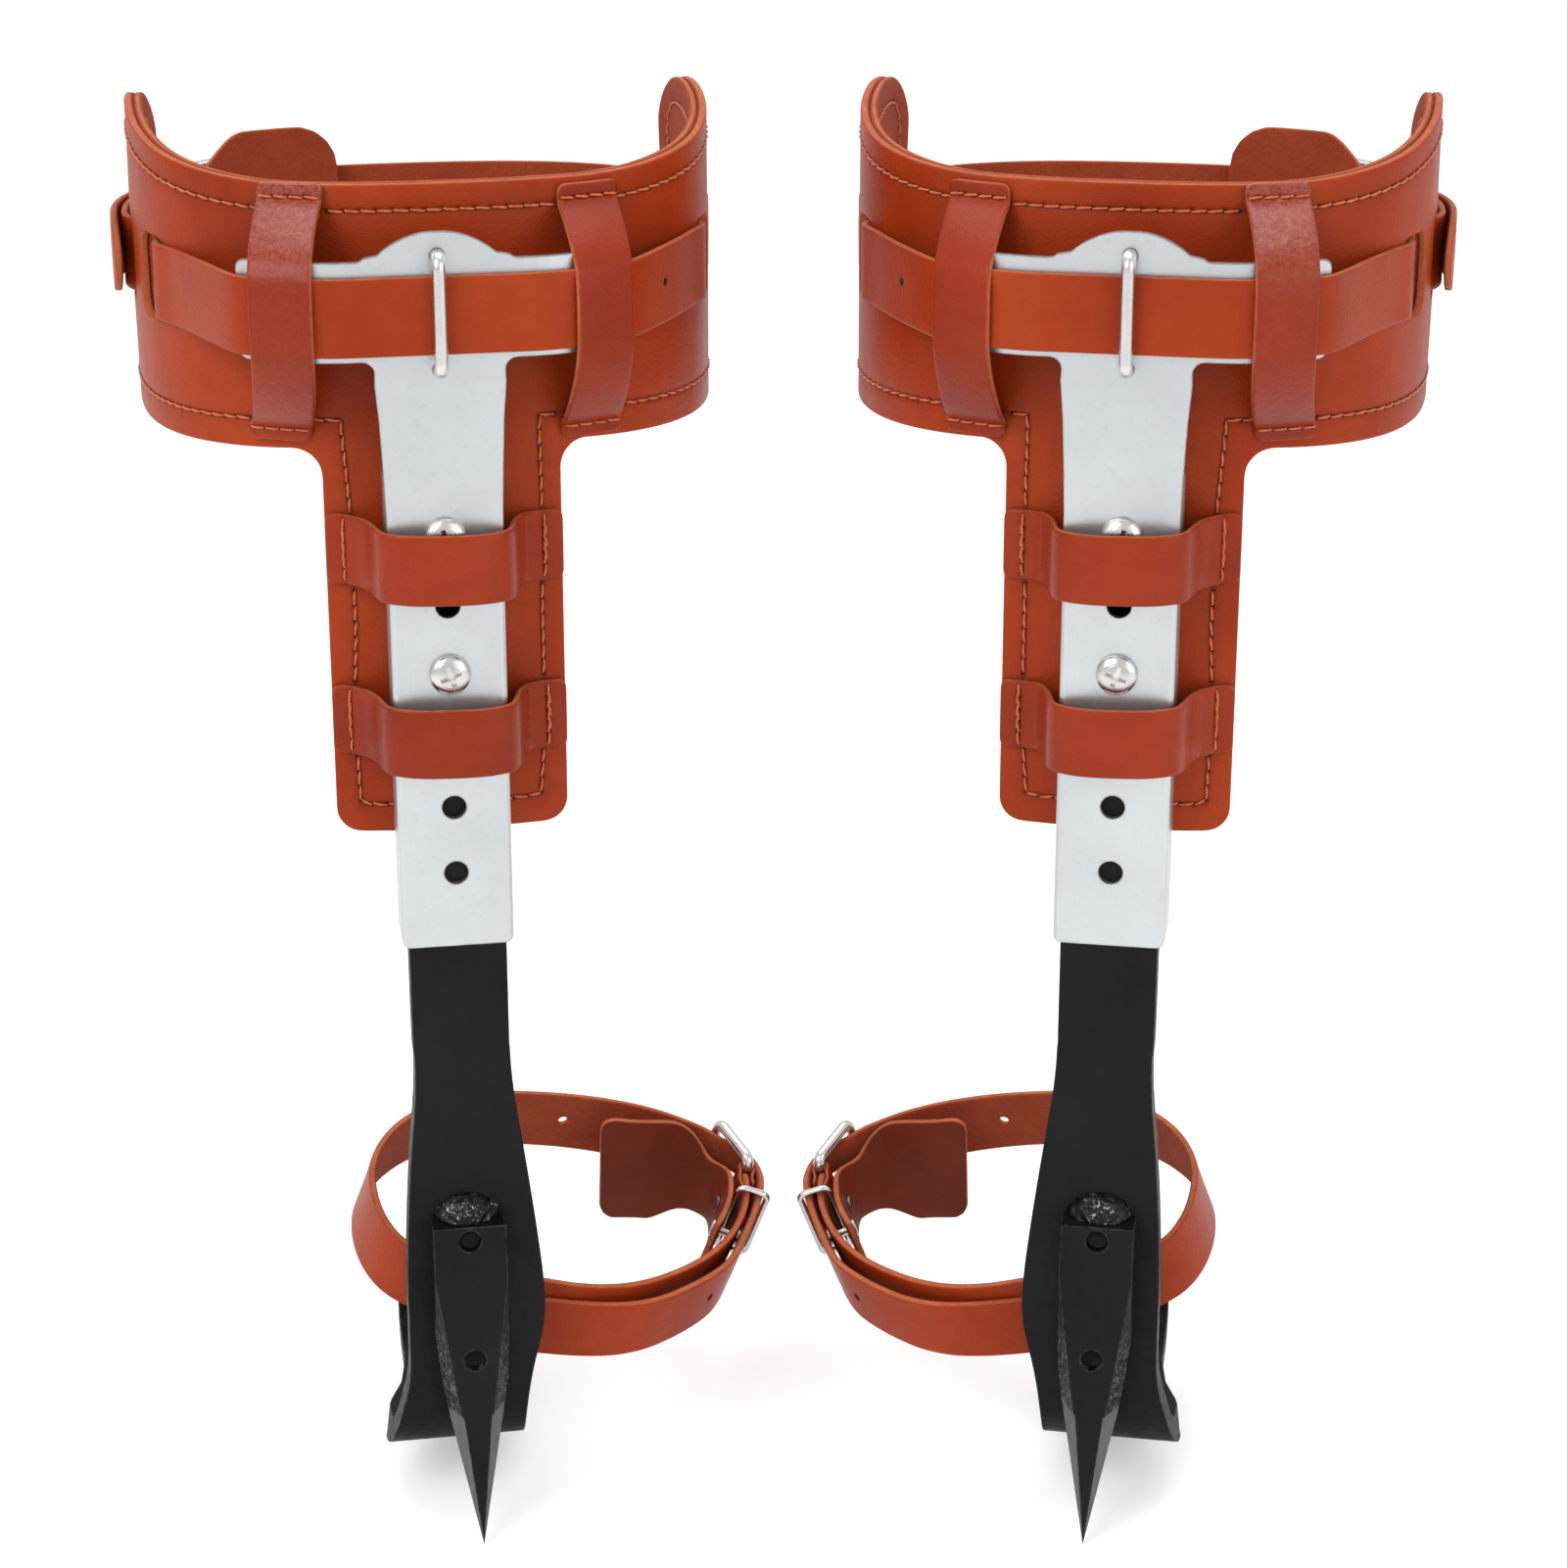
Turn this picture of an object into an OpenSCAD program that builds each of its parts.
// Pair of adjustable pole climbers: calf cuff, sliding sleeve, forged shank with stirrup and gaff,
// foot strap. Each climber is drawn in its own frame: X across the sleeve, Y back towards the leg,
// Z up from the sole of the stirrup, sleeve face at y = 0. The right one mirrors the left in X.

/* [Stance] */
// Half distance between the two climbers, mm
stance = 110; // [105:1:140]
// Toe-in of each climber, degrees
toe_in = 10; // [6:1:12]

/* [Sleeve] */
// Width of the square sleeve
tube_w = 38; // [37.8:0.1:38.6]
// Depth of the square sleeve, front to back
tube_d = 20; // [19.8:0.1:20]
// Height of the lower end of the sleeve above the sole
tube_bottom = 199; // [190:1:205]
// Spacing of the adjustment holes
hole_pitch = 23.45; // [22.8:0.05:23.6]
// Diameter of the adjustment holes
hole_d = 8.2; // [7.8:0.1:8.8]
// Diameter of the clamp screw heads
screw_head_d = 13.6; // [12:0.2:14]

/* [Cuff] */
// Half width of the calf cuff
cuff_half_w = 99; // [97:1:101]
// Thickness of the grain leather layer and of the lining, each
ply_t = 3; // [2.4:0.1:3]
// Height of the tongue's lower edge
tongue_bottom = 233.7; // [225:1:240]
// Leather keeper thickness
keeper_t = 2.4; // [2:0.1:2.8]

/* [Straps] */
// Width of the calf and foot straps
strap_w = 25.4; // [24:0.1:26]
// Thickness of the straps
strap_t = 2.6; // [2.2:0.1:2.7]
// Radius of the buckle wire
wire_r = 2.2; // [1.9:0.05:2.2]

/* [Shank] */
// Width of the shank inside the sleeve
shank_w = 33; // [32:0.1:33]
// Thickness of the shank
shank_t = 10; // [9:0.5:10]
// Length of the stirrup plate behind the shank face
stirrup_len = 99; // [85:1:105]

/* [Gaff] */
// How far the gaff point hangs below the sole
tip_drop = 18; // [14:1:20]
// Half width of the gaff body
gaff_half_w = 12.7; // [12:0.1:13]

/* [Hidden] */
$fn = 48;

y_shift = -85.585;              // centres the pair front to back
tube_wall = 2.4;
tube_top = 362;
tube_open_z = 330;              // the front wall of the sleeve ends here
hole_top = 342.7;               // height of the top adjustment hole
strap_z = 416.6;                // mid height of the calf strap
face_y = tube_wall + 0.1;       // front face of the shank
back_y = face_y + shank_t;      // back face of the shank
shank_top = 376;
gaff_top = 96;
joint_gap = 0.02;               // gap between the gaff, its weld and the shank
gaff_bore_r = 2.6;
gaff_screw_seats = [[91, -2.5], [48, -8.5]];  // height, y of the seat under the head
staple_r = 2.3;                 // wire of both staples
calf_staple_z = [398.6, 435.6]; // heights of its two legs
screw_r = 3.45;                 // clamp screw shaft

leather = [0.65, 0.26, 0.14];
dark_leather = [0.55, 0.20, 0.11];
steel = [0.84, 0.86, 0.88];
chrome = [0.75, 0.75, 0.76];
black = [0.13, 0.13, 0.13];
gaff_grey = [0.2, 0.2, 0.2];
weld_grey = [0.08, 0.08, 0.08];

function hole_z(i) = hole_top - i*hole_pitch;

// ---- curve helpers ----
function catmull(a, b, c, d, t) =
  0.5*((2*b) + (c - a)*t + (2*a - 5*b + 4*c - d)*t*t + (3*b - a - 3*c + d)*t*t*t);
// Catmull-Rom curve through the points, with n steps to each span
function smooth(points, n) = let (last = len(points) - 1) concat(
  [for (i = [0:last-1]) for (k = [0:n-1])
    catmull(points[max(i-1, 0)], points[i], points[i+1], points[min(i+2, last)], k/n)],
  [points[last]]);
function unit_vector(v) = v/norm(v);
function right_of(v) = [v[1], -v[0]];
function heading(path, i) = unit_vector(path[min(i+1, len(path)-1)] - path[max(i-1, 0)]);
function offset_path(path, d) =
  [for (i = [0:len(path)-1]) path[i] + d*right_of(heading(path, i))];
function reversed(list) = [for (i = [len(list)-1:-1:0]) list[i]];
function mirrored(points) = [for (p = reversed(points)) [-p[0], p[1]]];
// Outline of a strip that lies between two offsets of a path
function ribbon(path, d0, d1) = concat(offset_path(path, d0), reversed(offset_path(path, d1)));
function arc(cx, cy, r, a0, a1, n) =
  [for (i = [0:n]) let (a = a0 + (a1-a0)*i/n) [cx + r*cos(a), cy + r*sin(a)]];
function signed_pow(v, e) = (v < 0 ? -1 : 1)*pow(abs(v), e);
// Eases from 0 to 1 as t goes from 0 to 1
function ease(t) = let (u = min(max(t, 0), 1)) u*u*(3 - 2*u);

// ---- shape helpers ----
module along_y(y0, y1) translate([0, y1, 0]) rotate([90, 0, 0]) linear_extrude(y1 - y0) children();
module along_x(x0, x1) translate([x0, 0, 0]) rotate([90, 0, 90]) linear_extrude(x1 - x0) children();
module bore_y(z, r, y0, y1) translate([0, y0, z]) rotate([-90, 0, 0]) cylinder(h = y1 - y0, r = r);
module rod(start, end, r) {
  v = end - start;
  length = norm(v);
  translate(start) rotate([0, acos(v[2]/length), atan2(v[1], v[0])])
    cylinder(h = length, r = r, $fn = 32);
}
// Quarter ring of round wire in the XY plane
module elbow(bend, r) rotate_extrude(angle = 90) translate([bend, 0]) circle(r = r, $fn = 32);
module band(path, d0, d1, z0, z1)
  translate([0, 0, z0]) linear_extrude(z1 - z0) polygon(ribbon(path, d0, d1));
// Wire staple in the plane x = 0: two legs along y joined by an upright
module staple(low, high, root_y, bend_y, bend) {
  away = sign(bend_y - root_y);
  turns = away > 0 ? [0, 90] : [270, 180];
  upright_y = bend_y + away*bend;
  for (z = [low, high]) rod([0, root_y, z], [0, bend_y, z], staple_r);
  rod([0, upright_y, low + bend], [0, upright_y, high - bend], staple_r);
  for (i = [0, 1])
    translate([0, bend_y, i == 0 ? low + bend : high - bend])
      rotate([0, 90, 0]) rotate([0, 0, turns[i]]) elbow(bend, staple_r);
}

// ---- shank and stirrup ----
shank_half = shank_w/2;
// Edges of the shank seen from the front: x, z; right edge upwards, left edge downwards
shank_right = [[18.6, 0], [19.3, 17], [21.8, 33], [26.1, 52], [26.4, 68], [24.2, 91], [21, 117],
  [17.6, 143], [shank_half + 0.1, 160], [shank_half, 178], [shank_half, shank_top]];
shank_left = [[-shank_half, shank_top], [-shank_half, 178], [-16.1, 160], [-16.4, 143],
  [-18.8, 117], [-20.6, 91], [-21.4, 68], [-21.4, 52], [-22, 33], [-26, 17], [-30, 0]];
// Side view: y, z; down the face, back under the sole to the upturned end, then up the back
shank_side = concat(
  [[face_y, shank_top]],
  arc(face_y + 22, 22, 22, 180, 270, 12),
  arc(stirrup_len - 12, 14, 14, 270, 350, 8),
  [[stirrup_len + 1.6, 24], [stirrup_len - 6.4, 25.5]],
  arc(stirrup_len - 12.4, 14.6, 5.6, 350, 270, 6),
  arc(back_y + 11, 20, 11, 270, 180, 8),
  [[back_y, shank_top]]);
// Plan that trims the stirrup sides: x, y
stirrup_plan = [[-40, -10], [40, -10], [40, 60], [22, 70], [21, 120], [-19, 120], [-20, 62],
  [-22.5, 46], [-27, 34], [-29.5, 24], [-40, 20]];
shank_slot_r = 3.9;

module shank() color(black) difference() {
  intersection() {
    along_y(-1, 120) polygon(concat(smooth(shank_right, 4), smooth(shank_left, 4)));
    along_x(-40, 40) polygon(shank_side);
    translate([0, 0, -1]) linear_extrude(380) polygon(stirrup_plan);
  }
  // slot from the lower clamp screw out through the top
  bore_y(hole_z(2), shank_slot_r, 0, 20);
  translate([-shank_slot_r, 0, hole_z(2)]) cube([2*shank_slot_r, 20, 120]);
  for (seat = gaff_screw_seats) bore_y(seat[0], gaff_bore_r, 0, face_y + 7);
}

module foot_staple() color(chrome)
  staple(low = 37, high = 75.5, root_y = back_y, bend_y = 30.5, bend = 3);

// ---- gaff ----
gaff_point = [0, -27, -tip_drop];
gaff_back_y = face_y - joint_gap;
// Front view: x, z
gaff_front = [[-gaff_half_w, gaff_top], [-gaff_half_w, 52], [-11, 36], [-9, 24], [0, -tip_drop],
  [9.8, 24], [12, 36], [gaff_half_w, 52], [gaff_half_w, gaff_top]];
// Side view: y, z
gaff_side = [[gaff_back_y, gaff_top], [-7, gaff_top], [-12, 62], [-16.5, 34], [-27, -tip_drop],
  [-26, -tip_drop], [gaff_back_y, 40]];

// Block beyond the plane through points p, a and b, on one side in x, between two heights
module bevel(side, p, a, b, z0, z1) {
  c = cross(b - p, a - p);
  normal = unit_vector(c[0]*side > 0 ? c : -c);
  intersection() {
    translate(p) rotate([0, acos(normal[2]), atan2(normal[1], normal[0])])
      translate([-150, -150, 0]) cube([300, 300, 60]);
    translate([-40, -60, z0]) cube([80, 100, z1 - z0]);
  }
}

module gaff() color(gaff_grey) difference() {
  intersection() {
    along_y(-40, 10) polygon(gaff_front);
    along_x(-20, 20) polygon(gaff_side);
  }
  for (side = [-1, 1]) {
    bevel(side, gaff_point, [side*4.9, -17.8, 28], [side*9.8, -8.4, 28], -30, 28);
    bevel(side, [side*gaff_half_w, -9.8, 77], [side*5.5, -17.8, 28], [side*10.4, -8.4, 28],
      27, 90);
  }
  for (seat = gaff_screw_seats) {
    bore_y(seat[0], 3.85, -20, seat[1] + 0.1);
    bore_y(seat[0], gaff_bore_r, -20, 10);
  }
}

// Part of a ball, on top of the gaff and in front of the shank
module gaff_weld() color(weld_grey) intersection() {
  translate([0, 8.5, 93]) sphere(r = 14);
  translate([-20, -20, gaff_top + joint_gap]) cube([40, 20 + gaff_back_y, 30]);
}

// Round heads with a dished front
module gaff_screws() color(black) for (seat = gaff_screw_seats) difference() {
  union() {
    bore_y(seat[0], 3.7, seat[1] - 2.6, seat[1]);
    bore_y(seat[0], 2.5, seat[1] - 1, face_y + 6.8);
  }
  translate([0, seat[1] - 7.4, seat[0]]) sphere(r = 6);
}

// ---- sleeve ----
module tube_plan() {
  r = 2.2;
  side = tube_w/2;
  for (y = [r, tube_d - r], x = [r - side, side - r]) translate([x, y]) circle(r = r);
  translate([-side, r]) square([tube_w, tube_d - 2*r]);
  translate([r - side, 0]) square([tube_w - 2*r, tube_d]);
}

module sleeve_tube() {
  side = tube_w/2;
  corner_r = 3;  // lower corners in front view
  color(steel) difference() {
    intersection() {
      linear_extrude(tube_top) tube_plan();
      along_y(-1, 30) polygon(concat(
        arc(corner_r - side, tube_bottom + corner_r, corner_r, 180, 270, 6),
        arc(side - corner_r, tube_bottom + corner_r, corner_r, 270, 360, 6),
        [[side, tube_top + 1], [-side, tube_top + 1]]));
    }
    translate([tube_wall - side, tube_wall, 150])
      cube([tube_w - 2*tube_wall, tube_d - 2*tube_wall, 220]);
    translate([-30, -1, tube_open_z]) cube([60, tube_wall + 1, 40]);
    for (i = [1:5]) bore_y(hole_z(i), hole_d/2, -1, 3);
  }
}

// The plate is flat in the middle and its arms curve back
plate_flat = 28;
function plate_y(x) = abs(x) < plate_flat ? 0 : pow(abs(x) - plate_flat, 2)/90;
function plate_t(x) = abs(x) < plate_flat ? 2.38 : 2.6;

module calf_plate() {
  side = tube_w/2;
  crown_r = 28.4;
  crown_z = 414.9;
  plate_top = 443.1;
  // right half of the front view, from the bottom up: x, z
  half = concat(
    [[side, tube_open_z + 0.05], [side, 350], [side + 0.5, 366], [side + 1.2, 382],
      [side + 2.2, 394]],
    arc(side + 6, 397.8, 4, 190, 90, 5),
    arc(60, 404.8, 3, 270, 360, 4),
    arc(60, 431, 3, 0, 90, 4),
    arc(26, 437.5, 3.5, 270, 222, 4),
    [for (p = arc(0, crown_z, crown_r, 48, 90, 8)) [p[0], min(p[1], plate_top)]]);
  stations = [for (i = [-16:16]) i*4];
  color(steel) difference() {
    intersection() {
      along_y(-1, 40) polygon(concat(half, mirrored(half)));
      linear_extrude(460) polygon(concat(
        [for (x = stations) [x, plate_y(x)]],
        [for (x = reversed(stations)) [x, plate_y(x) + plate_t(x)]]));
    }
    bore_y(hole_top, hole_d/2, -1, 3);
    for (z = calf_staple_z) bore_y(z, staple_r + 0.1, -1, 3);
  }
}

module calf_staple() color(chrome)
  staple(low = calf_staple_z[0], high = calf_staple_z[1], root_y = 2.4, bend_y = -3.2, bend = 3.2);

// Bar behind the shank that takes both clamp screws
module nut_strip() {
  front = back_y + 0.3;
  back = tube_d - tube_wall - 0.2;
  color(black) difference() {
    translate([-14, front, 284]) cube([28, back - front, 72]);
    for (i = [0, 2]) bore_y(hole_z(i), screw_r + 0.05, 0, 30);
  }
}

// Domed head with a crossed slot and a round recess
module clamp_screw(z) {
  r = screw_head_d/2;
  color(chrome) translate([0, 0, z]) rotate([90, 0, 0]) difference() {
    union() {
      translate([0, 0, -17]) cylinder(h = 17.1, r = screw_r);
      rotate_extrude() polygon(concat([[0, 0.05], [r - 0.5, 0.05], [r, 0.5]],
        [for (i = [0:8]) let (a = i*90/8) [r*cos(a), 1.2 + 2.8*sin(a)]]));
    }
    for (a = [0, 90]) rotate([0, 0, a + 20]) translate([-3.6, -0.8, 1.9]) cube([7.2, 1.6, 4]);
    translate([0, 0, 1.5]) cylinder(h = 4, r = 1.6);
  }
}

// ---- cuff leather ----
cuff_x = 4;              // centre of the cuff curve
cuff_y = 120.2;
cuff_front_depth = 100;
cuff_rear_depth = 73;
cuff_power = 0.8;        // below 1 squares the ellipse
ply_gap = 0.1;

// Plan curve of the cuff, angle in degrees, 270 is the front
function cuff(a) = [
  cuff_x + cuff_half_w*signed_pow(cos(a), cuff_power),
  cuff_y + (sin(a) < 0 ? cuff_front_depth : cuff_rear_depth)*signed_pow(sin(a), cuff_power)];
// The same curve on its front side, as y over x
function pad_y(x) = cuff_y
  - cuff_front_depth*pow(1 - pow(abs(x - cuff_x)/cuff_half_w, 2/cuff_power), cuff_power/2);

// Front view of the pad with its tongue: x, z
pad_front = concat(
  arc(-30, tongue_bottom + 8, 8, 180, 270, 6),
  arc(33, tongue_bottom + 8, 8, 270, 360, 6),
  arc(50, 358.3, 9, 180, 90, 6),
  [[130, 363], [130, 480], [-130, 480], [-130, 363]],
  arc(-47, 358.3, 9, 90, 0, 6));
// Side view of the pad: y, z
pad_side = concat(
  [[0, 225], [50, 225], [50, 360]],
  arc(127, 389, 25, 270, 355, 8),
  arc(132, 448, 20, 5, 80, 8),
  [[105, 467], [60, 459], [32, 455], [0, 454.8]]);

// One leather layer between two offsets of the cuff curve, with slots for the calf strap
module pad_ply(d0, d1) {
  path = [for (i = [0:56]) cuff(159 + i*222/56)];
  slot_h = strap_w + 2.8;
  difference() {
    intersection() {
      linear_extrude(480) polygon(ribbon(path, d0, d1));
      along_y(0, 170) polygon(pad_front);
      along_x(-130, 130) polygon(pad_side);
    }
    for (side = [-1, 1], y = [63, 99])
      translate([cuff_x + side*85 - 20, y, strap_z - slot_h/2]) cube([40, 22, slot_h]);
  }
}

module calf_pad() color(leather) pad_ply(0, -ply_t);

module pad_lining() color(dark_leather) pad_ply(-ply_t - ply_gap, -2*ply_t - ply_gap);

// Two upright leather bridges on the front of the pad
module pad_keepers() {
  // distance out from the pad, z
  profile = smooth([[0.7, 456], [0.7, 449], [6.5, 446.5], [14, 442], [21, 436.9], [25.2, 431.5],
    [26.9, 424], [27.1, 416], [26.9, 408], [25.2, 401.5], [20, 393.6], [12.5, 386], [6, 379.5],
    [0.7, 376], [0.7, 370]], 3);
  width = 22;
  // x, turn in degrees, scale of the bulge
  keepers = [[-43, 17, 1], [49, -14, 0.925]];
  color(leather) for (keeper = keepers)
    translate([keeper[0], pad_y(keeper[0]), 0]) rotate([0, 0, -keeper[1]])
      translate([-width/2, -0.6, 0]) rotate([90, 0, 90]) linear_extrude(width)
        polygon(ribbon([for (p = profile) [-keeper[2]*p[0], p[1]]], 0, keeper_t));
}

// Two leather bands on the tongue that wrap the front of the sleeve
module pad_loops() {
  // plan of the right side, from the middle outwards: x, y
  right_half = [[1.5, -6.4], [9, -5.9], [15, -4.1], [19.4, -1], [21.2, 4.5], [22.8, 11.5],
    [25.6, 17.6], [28.6, 20.3]];
  path = smooth(concat(
    [for (x = [-37.6, -31]) [x, pad_y(x) - 0.3]],
    mirrored([for (i = [1:len(right_half)-1]) right_half[i]]),
    right_half,
    [for (x = [33, 40.6]) [x, pad_y(x) - 0.3]]), 3);
  color(dark_leather) for (z = [321.6, 262]) band(path, 0, keeper_t, z, z + 23.6);
}

// ---- strap curves ----
// Straps run along a plan curve. Stations are degrees on the cuff curve, and control-point
// steps on the foot curve, which closes on itself at step 22.
calf = 0;
foot = 1;
// Plan of the foot strap in its own tilted frame: x, y
foot_points = [[-107, 92], [-107, 76], [-102, 59], [-93, 43], [-79, 28], [-61, 15], [-42, 8.5],
  [-20, 7], [0, 7], [16.2, 9], [26.7, 15], [33.4, 27], [36.1, 43], [34, 59], [25.6, 77], [11, 93],
  [-9.9, 105], [-35, 112], [-58, 115], [-76, 114.5], [-91, 110.5], [-101, 103]];
function foot_point(i) = let (n = len(foot_points)) foot_points[((i % n) + n) % n];
function foot_curve(t) = let (i = floor(t))
  catmull(foot_point(i-1), foot_point(i), foot_point(i+1), foot_point(i+2), t - i);
function curve(kind, t) = kind == calf ? cuff(t) : foot_curve(t);
function tangent(kind, t) = let (step = kind == calf ? 1 : 0.04)
  unit_vector(curve(kind, t + step) - curve(kind, t - step));
// Point at station t, set outwards by d
function beside(kind, t, d) = curve(kind, t) + d*right_of(tangent(kind, t));
// The same point in space, at the strap's mid height
function place(kind, t, d) = let (p = beside(kind, t, d)) [p[0], p[1], 0];

// Stations of the fittings, [calf, foot]
heel_at = [500, 22];             // buckle bar that the prong turns on
toe_at = [485, 20.45];           // buckle bar under the prong's end
keeper_at = [509, 22.95];
rivets_at = [[505.5, 513], [22.6, 23.55]];
guard_start = [460, 17.8];
guard_wide_end = [500, 20.6];
guard_narrow_start = [476, 20.25];
guard_end = [516.5, 24.2];
// Other values that differ, [calf, foot]
guard_z = [[-28.5, 28.5], [-30.5, 18.5]];  // lower and upper edge of the wide part
guard_flare = [0, 12];           // how far the guard's start leans inwards
tail_fall = [9, 1.6];            // stations over which the tail comes down past the heel
prong_rise = [2.1, 2.5];         // prong end above the toe bar
// Outward offsets of the buckle bars
heel_offset = 3.2;
toe_offset = 6.0;
strap_offset = strap_t/2 + 0.3;  // mid line of a strap that lies on its curve

// How far the calf strap is tucked inside the pad, 0 to 1, a degrees forward of its widest point
function tuck(a) = a > 16.5 ? ease((28.5 - a)/12) : a > 8 ? 1 : ease(a/8);
function tuck_offset(a) = strap_offset - (strap_t + 2*ply_t + 0.8)*tuck(a);
// Extra lift of the foot strap's tail past the buckle
function foot_tail_lift(t) = 3.4*ease((t - 24)/1.5)*ease((28.4 - t)/2) - ease((t - 27)/2);
// The tail climbs from the toe to the heel of the buckle, then comes down
function tail_offset(kind, t) =
  let (heel = heel_at[kind], toe = toe_at[kind], span = heel - toe)
  t < toe ? 2.2 - 0.6*ease((toe - t)/span) :
  t < heel ? 2.2 + 5.9*ease((t - toe)/span) :
  8.1 - 2.5*ease((t - heel)/tail_fall[kind]) + (kind == foot ? foot_tail_lift(t) : 0);

calf_start = 143.4;
calf_end = 549;
tuck_angles = [for (i = [1:14]) i*29/14];
// Calf strap across the front, between the forward slots: x, y
calf_front = [[-81.6, 54.75], [-74.2, 36.9], [-63.8, 12.2], [-55.8, 6.6], [-45.6, 1.7],
  [-36, -0.9], [-27, -1.6], [0, -1.6], [27, -1.6], [36, -0.9], [45.6, 1.7], [55.8, 6.6],
  [63.8, 12.2], [79.2, 35.9], [89.5, 54.8]];
calf_path = smooth(concat(
  [for (i = [0:7]) beside(calf, calf_start + i*(180 - calf_start)/7, strap_offset)],
  [for (a = tuck_angles) beside(calf, 180 + a, tuck_offset(a))],
  calf_front,
  [for (a = reversed(tuck_angles)) beside(calf, 360 - a, tuck_offset(a))],
  [for (i = [0:23]) beside(calf, 360 + i*5, strap_offset)],
  [for (i = [0:21]) let (t = 480 + i*(calf_end - 480)/21) beside(calf, t, tail_offset(calf, t))]),
  2);
foot_path = smooth(concat(
  [for (i = [0:39]) beside(foot, 0.2 + i*0.5, strap_offset)],
  [for (i = [0:19]) let (t = 20.2 + i*0.5) beside(foot, t, tail_offset(foot, t))]), 2);

// ---- straps and their buckles ----
// Round-ended slot through the strap, behind the heel bar towards the toe
module prong_slot(kind) {
  heel = place(kind, heel_at[kind], 4);
  u = unit_vector(place(kind, toe_at[kind], 4) - heel);
  across = [-u[1], u[0], 0];
  r = 1.9;
  from = 2.7;
  to = 15;
  for (s = [from, to]) rod(heel + s*u - 6*across, heel + s*u + 9*across, r);
  translate(heel) rotate([0, 0, atan2(u[1], u[0])])
    translate([from, -7, -r]) cube([to - from, 14, 2*r]);
}

module rivet_bores(kind) for (t = rivets_at[kind])
  rod(place(kind, t, -9), place(kind, t, 3.4), 1.7);

module strap(kind, path) color(leather) difference() {
  band(path, -strap_t/2, strap_t/2, -strap_w/2, strap_w/2);
  prong_slot(kind);
  rivet_bores(kind);
}

// Leather flap inside the buckle: a wide part, then a narrow part as wide as the strap
module guard(kind) {
  n = 24;
  inset = -3.6;
  thickness = 2.4;
  start = guard_start[kind];
  narrow = guard_narrow_start[kind];
  wide_path = [for (i = [0:n]) beside(kind, start + (guard_wide_end[kind] - start)*i/n,
    inset - guard_flare[kind]*ease(1 - i/n))];
  narrow_path = [for (i = [0:n]) beside(kind, narrow + (guard_end[kind] - narrow)*i/n, inset)];
  color(dark_leather) difference() {
    union() {
      band(wide_path, 0, -thickness, guard_z[kind][0], guard_z[kind][1]);
      band(narrow_path, 0, -thickness, -strap_w/2, strap_w/2);
    }
    rivet_bores(kind);
  }
}

module rivets(kind) color(chrome) for (t = rivets_at[kind]) {
  inner = place(kind, t, -6.4);
  outer = place(kind, t, 2.95);
  rod(inner, outer, 1.6);
  rod(place(kind, t, -7.2), inner, 3.6);
  rod(outer, place(kind, t, 3.6), 3.4);
}

// Rectangular wire ring standing on the line from a to b, reaching half_h above and below
module wire_ring(a, b, half_h, r) {
  length = norm(b - a);
  bend = r + 1.2;
  low = bend - half_h;
  high = half_h - bend;
  far = length - bend;
  // x, y, turn
  corners = [[bend, high, 90], [far, high, 0], [bend, low, 180], [far, low, 270]];
  translate(a) rotate([0, 0, atan2(b[1] - a[1], b[0] - a[0])]) rotate([90, 0, 0]) {
    for (x = [0, length])
      translate([x, low, 0]) rotate([-90, 0, 0]) cylinder(h = 2*high, r = r, $fn = 32);
    for (y = [-half_h, half_h])
      translate([bend, y, 0]) rotate([0, 90, 0]) cylinder(h = length - 2*bend, r = r, $fn = 32);
    for (c = corners) translate([c[0], c[1], 0]) rotate([0, 0, c[2]]) elbow(bend, r);
  }
}

module buckle_frame(kind) color(chrome) wire_ring(
  place(kind, heel_at[kind], heel_offset), place(kind, toe_at[kind], toe_offset),
  strap_w/2 + 3.4, wire_r);

module buckle_prong(kind) {
  heel = place(kind, heel_at[kind], heel_offset);
  tip = place(kind, toe_at[kind], toe_offset + wire_r + prong_rise[kind]);
  u = unit_vector(tip - heel);
  color(chrome) difference() {
    union() {
      translate(heel + [0, 0, -2.4]) cylinder(h = 4.8, r = wire_r + 1.1);
      rod(heel + 2.9*u, tip + 3*u, 1.5);
    }
    translate(heel + [0, 0, -5]) cylinder(h = 10, r = wire_r + 0.07);
  }
}

module keeper_ring(kind) {
  t = keeper_at[kind];
  color(chrome) wire_ring(place(kind, t, -1.9), place(kind, t, tail_offset(kind, t) + 2.9),
    strap_w/2 + 2.1, 1.3);
}

// ---- placement ----
module left() translate([-stance, y_shift, tip_drop]) rotate([0, 0, toe_in]) children();
module right() mirror([1, 0, 0]) left() children();
module at_calf() translate([0, 0, strap_z]) children();
module at_foot() translate([0, 18, 54]) rotate([15, 17, 0]) mirror([1, 0, 0]) children();

// ---- nodes ----
module left_shank() left() shank();
module left_gaff() left() gaff();
module left_gaff_weld() left() gaff_weld();
module left_gaff_screws() left() gaff_screws();
module left_foot_staple() left() foot_staple();
module left_sleeve_tube() left() sleeve_tube();
module left_calf_plate() left() calf_plate();
module left_calf_staple() left() calf_staple();
module left_nut_strip() left() nut_strip();
module left_clamp_screw_upper() left() clamp_screw(hole_z(0));
module left_clamp_screw_lower() left() clamp_screw(hole_z(2));
module left_calf_pad() left() calf_pad();
module left_pad_lining() left() pad_lining();
module left_pad_keepers() left() pad_keepers();
module left_pad_loops() left() pad_loops();
module left_calf_strap() left() at_calf() strap(calf, calf_path);
module left_calf_buckle_frame() left() at_calf() buckle_frame(calf);
module left_calf_buckle_prong() left() at_calf() buckle_prong(calf);
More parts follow.
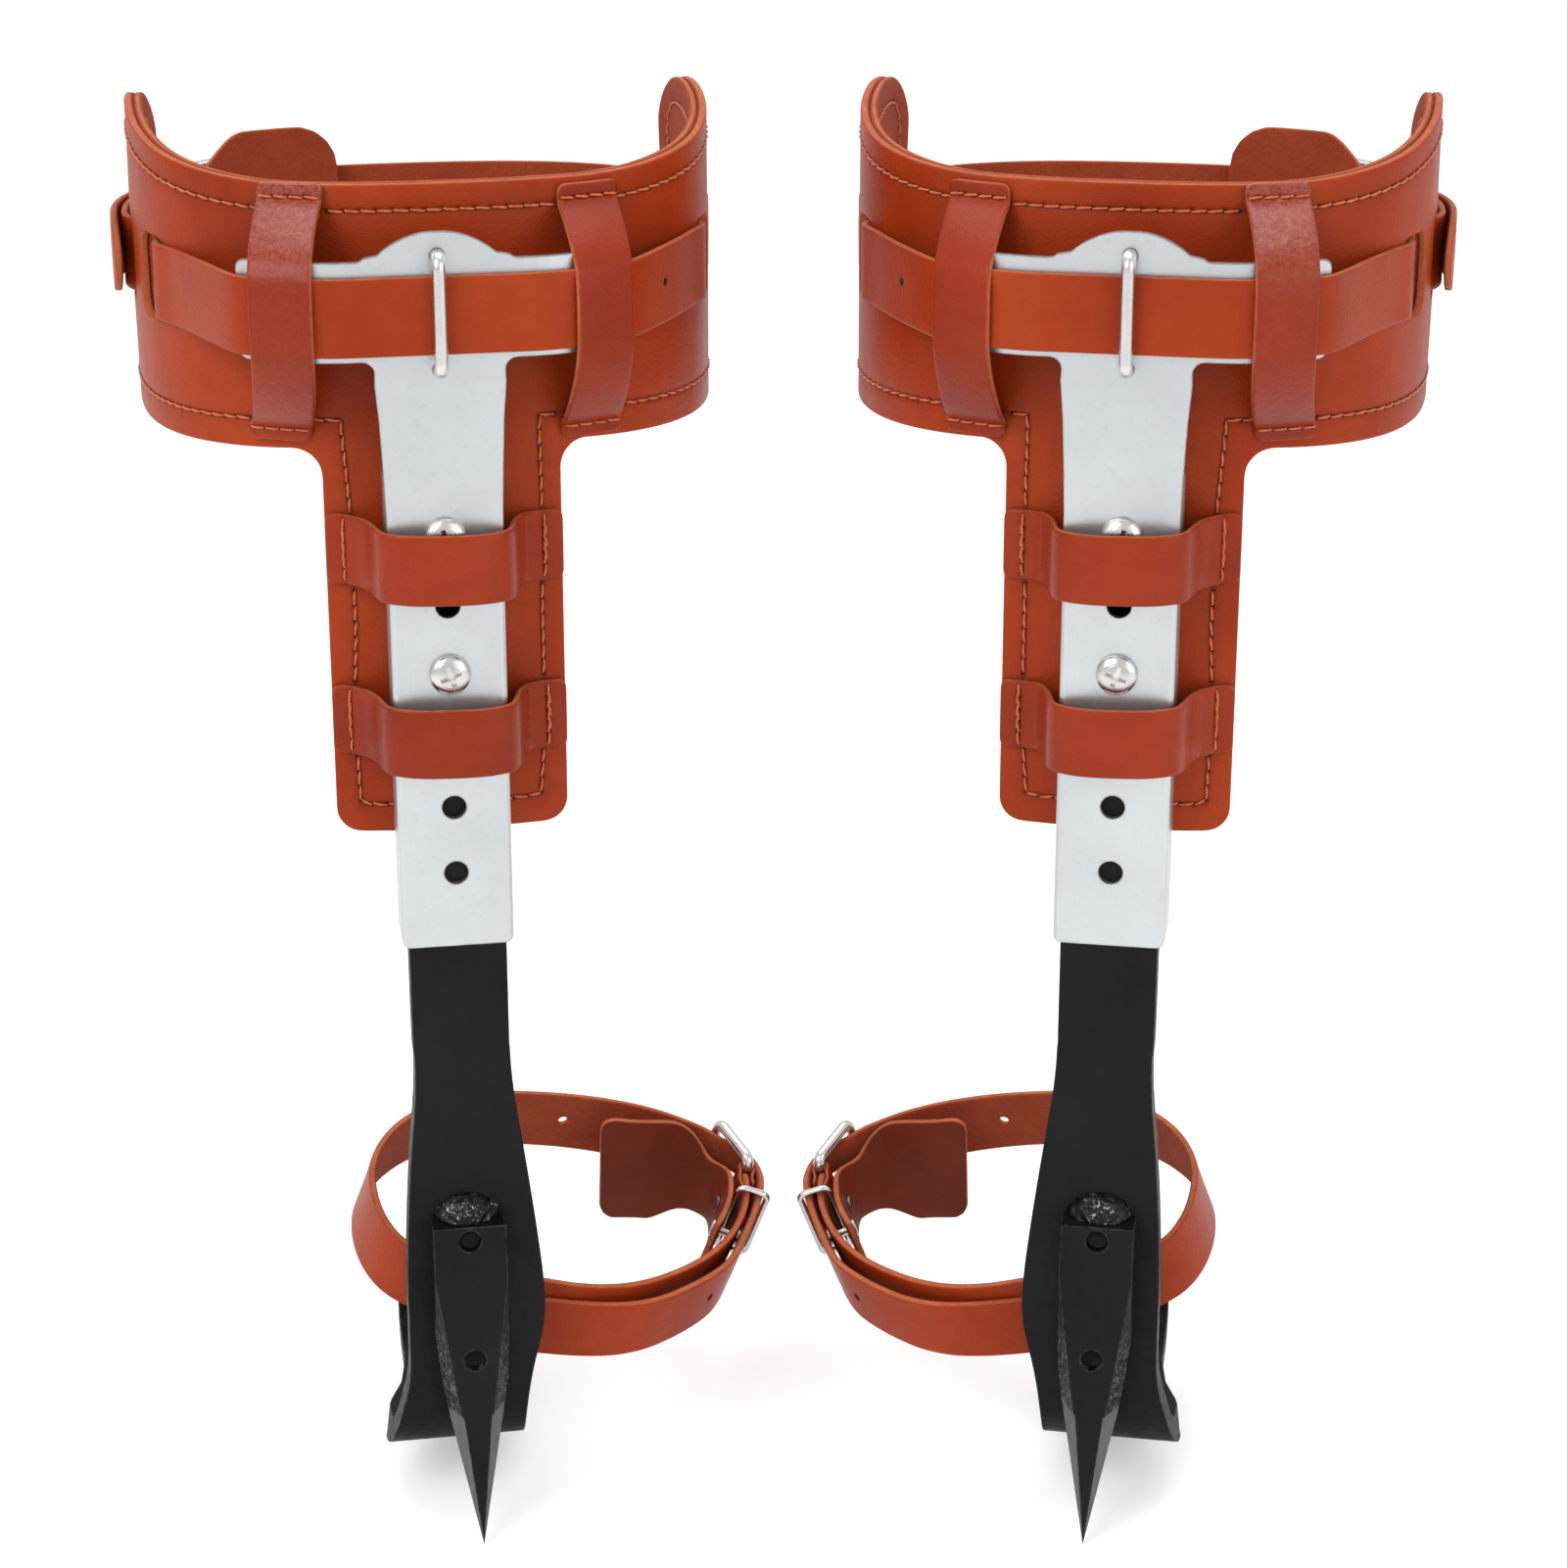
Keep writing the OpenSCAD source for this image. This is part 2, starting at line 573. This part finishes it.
module left_calf_guard() left() at_calf() guard(calf);
module left_calf_rivets() left() at_calf() rivets(calf);
module left_calf_keeper_ring() left() at_calf() keeper_ring(calf);
module left_foot_strap() left() at_foot() strap(foot, foot_path);
module left_foot_buckle_frame() left() at_foot() buckle_frame(foot);
module left_foot_buckle_prong() left() at_foot() buckle_prong(foot);
module left_foot_guard() left() at_foot() guard(foot);
module left_foot_rivets() left() at_foot() rivets(foot);
module left_foot_keeper_ring() left() at_foot() keeper_ring(foot);
module right_shank() right() shank();
module right_gaff() right() gaff();
module right_gaff_weld() right() gaff_weld();
module right_gaff_screws() right() gaff_screws();
module right_foot_staple() right() foot_staple();
module right_sleeve_tube() right() sleeve_tube();
module right_calf_plate() right() calf_plate();
module right_calf_staple() right() calf_staple();
module right_nut_strip() right() nut_strip();
module right_clamp_screw_upper() right() clamp_screw(hole_z(0));
module right_clamp_screw_lower() right() clamp_screw(hole_z(2));
module right_calf_pad() right() calf_pad();
module right_pad_lining() right() pad_lining();
module right_pad_keepers() right() pad_keepers();
module right_pad_loops() right() pad_loops();
module right_calf_strap() right() at_calf() strap(calf, calf_path);
module right_calf_buckle_frame() right() at_calf() buckle_frame(calf);
module right_calf_buckle_prong() right() at_calf() buckle_prong(calf);
module right_calf_guard() right() at_calf() guard(calf);
module right_calf_rivets() right() at_calf() rivets(calf);
module right_calf_keeper_ring() right() at_calf() keeper_ring(calf);
module right_foot_strap() right() at_foot() strap(foot, foot_path);
module right_foot_buckle_frame() right() at_foot() buckle_frame(foot);
module right_foot_buckle_prong() right() at_foot() buckle_prong(foot);
module right_foot_guard() right() at_foot() guard(foot);
module right_foot_rivets() right() at_foot() rivets(foot);
module right_foot_keeper_ring() right() at_foot() keeper_ring(foot);

left_shank();
left_gaff();
left_gaff_weld();
left_gaff_screws();
left_foot_staple();
left_sleeve_tube();
left_calf_plate();
left_calf_staple();
left_nut_strip();
left_clamp_screw_upper();
left_clamp_screw_lower();
left_calf_pad();
left_pad_lining();
left_pad_keepers();
left_pad_loops();
left_calf_strap();
left_calf_buckle_frame();
left_calf_buckle_prong();
left_calf_guard();
left_calf_rivets();
left_calf_keeper_ring();
left_foot_strap();
left_foot_buckle_frame();
left_foot_buckle_prong();
left_foot_guard();
left_foot_rivets();
left_foot_keeper_ring();
right_shank();
right_gaff();
right_gaff_weld();
right_gaff_screws();
right_foot_staple();
right_sleeve_tube();
right_calf_plate();
right_calf_staple();
right_nut_strip();
right_clamp_screw_upper();
right_clamp_screw_lower();
right_calf_pad();
right_pad_lining();
right_pad_keepers();
right_pad_loops();
right_calf_strap();
right_calf_buckle_frame();
right_calf_buckle_prong();
right_calf_guard();
right_calf_rivets();
right_calf_keeper_ring();
right_foot_strap();
right_foot_buckle_frame();
right_foot_buckle_prong();
right_foot_guard();
right_foot_rivets();
right_foot_keeper_ring();
